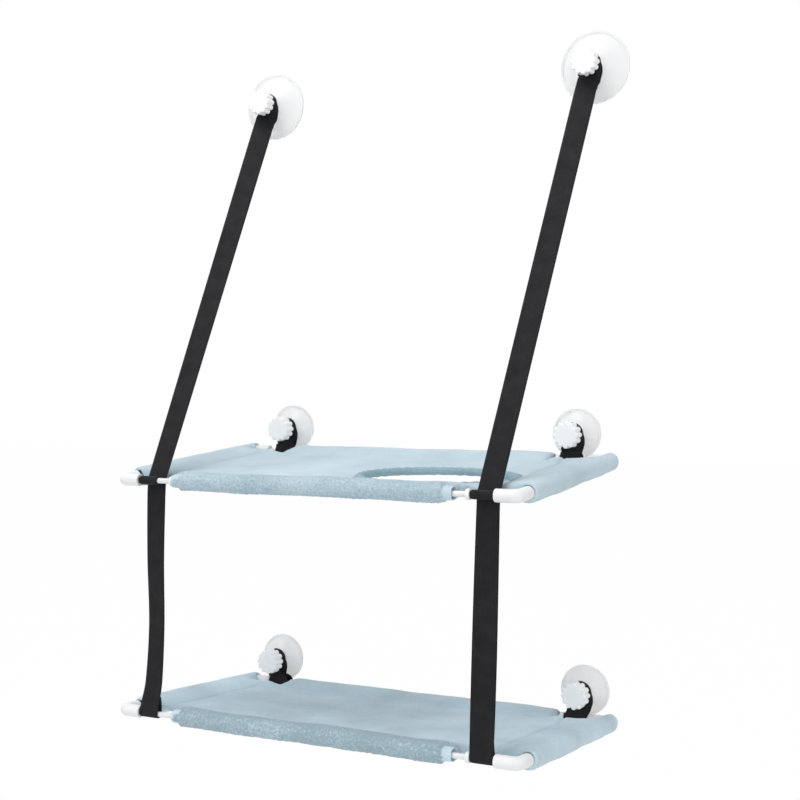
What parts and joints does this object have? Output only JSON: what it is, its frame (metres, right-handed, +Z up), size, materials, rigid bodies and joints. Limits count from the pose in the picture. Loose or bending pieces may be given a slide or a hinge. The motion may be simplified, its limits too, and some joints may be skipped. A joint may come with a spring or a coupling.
{
  "type": "window cat hammock",
  "caption": "Double-deck cat hammock for a window: fleece decks on rod frames, hung by webbing straps from screw-down suction cups, with an oval hole through the upper deck.",
  "frame": {"origin": "on the glass, midway between the centres of the two cups of the upper deck", "axes": "+X along the window to the right as seen from the room, +Y into the glass, +Z up"},
  "size_m": [0.51, 0.2935, 0.7897],
  "materials": {
    "clear_cup": "clear soft vinyl",
    "stud_steel": "zinc plated",
    "insert_brass": "machined",
    "white_plastic": "satin",
    "rod": "satin white coat",
    "webbing": "woven",
    "upper_fleece": "plush",
    "lower_fleece": "plush",
    "binding": "plush"
  },
  "bodies": {
    "window_side": {"suction_cup_top_left": "clear_cup", "cup_stud_top_left": "stud_steel", "suction_cup_top_right": "clear_cup", "cup_stud_top_right": "stud_steel", "suction_cup_upper_left": "clear_cup", "cup_stud_upper_left": "stud_steel", "suction_cup_upper_right": "clear_cup", "cup_stud_upper_right": "stud_steel", "suction_cup_lower_left": "clear_cup", "cup_stud_lower_left": "stud_steel", "suction_cup_lower_right": "clear_cup", "cup_stud_lower_right": "stud_steel", "rear_strap_upper_left": "webbing", "rear_strap_upper_right": "webbing", "rear_strap_lower_left": "webbing", "rear_strap_lower_right": "webbing", "front_strap_left_upper": "webbing", "front_strap_right_upper": "webbing"},
    "upper_deck": {"upper_front_rail": "rod", "upper_front_left_elbow": "white_plastic", "upper_front_right_elbow": "white_plastic", "upper_front_stop_rings": "white_plastic", "upper_rear_rail": "rod", "upper_rear_left_elbow": "white_plastic", "upper_rear_right_elbow": "white_plastic", "upper_rear_stop_rings": "white_plastic", "upper_left_rod": "rod", "upper_right_rod": "rod", "upper_cover": "upper_fleece", "upper_hole_binding": "binding", "front_tab_left": "webbing", "front_tab_right": "webbing"},
    "lower_deck": {"lower_front_rail": "rod", "lower_front_left_elbow": "white_plastic", "lower_front_right_elbow": "white_plastic", "lower_front_stop_rings": "white_plastic", "lower_rear_rail": "rod", "lower_rear_left_elbow": "white_plastic", "lower_rear_right_elbow": "white_plastic", "lower_rear_stop_rings": "white_plastic", "lower_left_rod": "rod", "lower_right_rod": "rod", "lower_cover": "lower_fleece"},
    "drop_straps": {"front_strap_left_lower": "webbing", "front_strap_right_lower": "webbing"},
    "insert_top_left": {"knob_insert_top_left": "insert_brass"},
    "knob_top_left": {"cup_knob_top_left": "white_plastic"},
    "insert_top_right": {"knob_insert_top_right": "insert_brass"},
    "knob_top_right": {"cup_knob_top_right": "white_plastic"},
    "insert_upper_left": {"knob_insert_upper_left": "insert_brass"},
    "knob_upper_left": {"cup_knob_upper_left": "white_plastic"},
    "insert_upper_right": {"knob_insert_upper_right": "insert_brass"},
    "knob_upper_right": {"cup_knob_upper_right": "white_plastic"},
    "insert_lower_left": {"knob_insert_lower_left": "insert_brass"},
    "knob_lower_left": {"cup_knob_lower_left": "white_plastic"},
    "insert_lower_right": {"knob_insert_lower_right": "insert_brass"},
    "knob_lower_right": {"cup_knob_lower_right": "white_plastic"}
  },
  "joints": [
    {"name": "upper_fold", "type": "hinge", "parent": "window_side", "child": "upper_deck", "pos_m": [0, -0.021, -0.0286], "axis": [-1, 0, 0], "range_deg": [0, 29], "deforming": ["front_strap_left_upper", "front_strap_right_upper"]},
    {"name": "lower_fold", "type": "hinge", "parent": "window_side", "child": "lower_deck", "pos_m": [0, -0.021, -0.3216], "axis": [-1, 0, 0], "range_deg": [0, 30.5]},
    {"name": "drop_strap_swing", "type": "hinge", "parent": "upper_deck", "child": "drop_straps", "pos_m": [0, -0.283, -0.048], "axis": [-1, 0, 0], "range_deg": [-33.9, 0], "deforming": ["front_strap_left_lower", "front_strap_right_lower"]},
    {"name": "knob_advance_top_left", "type": "slide", "parent": "window_side", "child": "insert_top_left", "axis": [0, -1, 0], "range_m": [0, 0.004]},
    {"name": "knob_turn_top_left", "type": "hinge", "parent": "insert_top_left", "child": "knob_top_left", "pos_m": [-0.2167, -0.02825, 0.4081], "axis": [0, -1, 0], "range_deg": [0, 1441]},
    {"name": "knob_advance_top_right", "type": "slide", "parent": "window_side", "child": "insert_top_right", "axis": [0, -1, 0], "range_m": [0, 0.004]},
    {"name": "knob_turn_top_right", "type": "hinge", "parent": "insert_top_right", "child": "knob_top_right", "pos_m": [0.2113, -0.02825, 0.4153], "axis": [0, -1, 0], "range_deg": [0, 1441]},
    {"name": "knob_advance_upper_left", "type": "slide", "parent": "window_side", "child": "insert_upper_left", "axis": [0, -1, 0], "range_m": [0, 0.004]},
    {"name": "knob_turn_upper_left", "type": "hinge", "parent": "insert_upper_left", "child": "knob_upper_left", "pos_m": [-0.1905, -0.02575, 0], "axis": [0, -1, 0], "range_deg": [0, 1441]},
    {"name": "knob_advance_upper_right", "type": "slide", "parent": "window_side", "child": "insert_upper_right", "axis": [0, -1, 0], "range_m": [0, 0.004]},
    {"name": "knob_turn_upper_right", "type": "hinge", "parent": "insert_upper_right", "child": "knob_upper_right", "pos_m": [0.1905, -0.02575, 0], "axis": [0, -1, 0], "range_deg": [0, 1441]},
    {"name": "knob_advance_lower_left", "type": "slide", "parent": "window_side", "child": "insert_lower_left", "axis": [0, -1, 0], "range_m": [0, 0.004]},
    {"name": "knob_turn_lower_left", "type": "hinge", "parent": "insert_lower_left", "child": "knob_lower_left", "pos_m": [-0.2064, -0.02575, -0.293], "axis": [0, -1, 0], "range_deg": [0, 1441]},
    {"name": "knob_advance_lower_right", "type": "slide", "parent": "window_side", "child": "insert_lower_right", "axis": [0, -1, 0], "range_m": [0, 0.004]},
    {"name": "knob_turn_lower_right", "type": "hinge", "parent": "insert_lower_right", "child": "knob_lower_right", "pos_m": [0.201, -0.02575, -0.293], "axis": [0, -1, 0], "range_deg": [0, 1441]}
  ],
  "couplings": [
    {"joint": "lower_fold", "follows": "upper_fold", "ratio": 1.0502},
    {"joint": "drop_strap_swing", "follows": "upper_fold", "ratio": -1.1671},
    {"joint": "knob_turn_top_left", "follows": "knob_advance_top_left", "rad_per_m": 6283.2},
    {"joint": "knob_turn_top_right", "follows": "knob_advance_top_right", "rad_per_m": 6283.2},
    {"joint": "knob_turn_upper_left", "follows": "knob_advance_upper_left", "rad_per_m": 6283.2},
    {"joint": "knob_turn_upper_right", "follows": "knob_advance_upper_right", "rad_per_m": 6283.2},
    {"joint": "knob_turn_lower_left", "follows": "knob_advance_lower_left", "rad_per_m": 6283.2},
    {"joint": "knob_turn_lower_right", "follows": "knob_advance_lower_right", "rad_per_m": 6283.2}
  ]
}
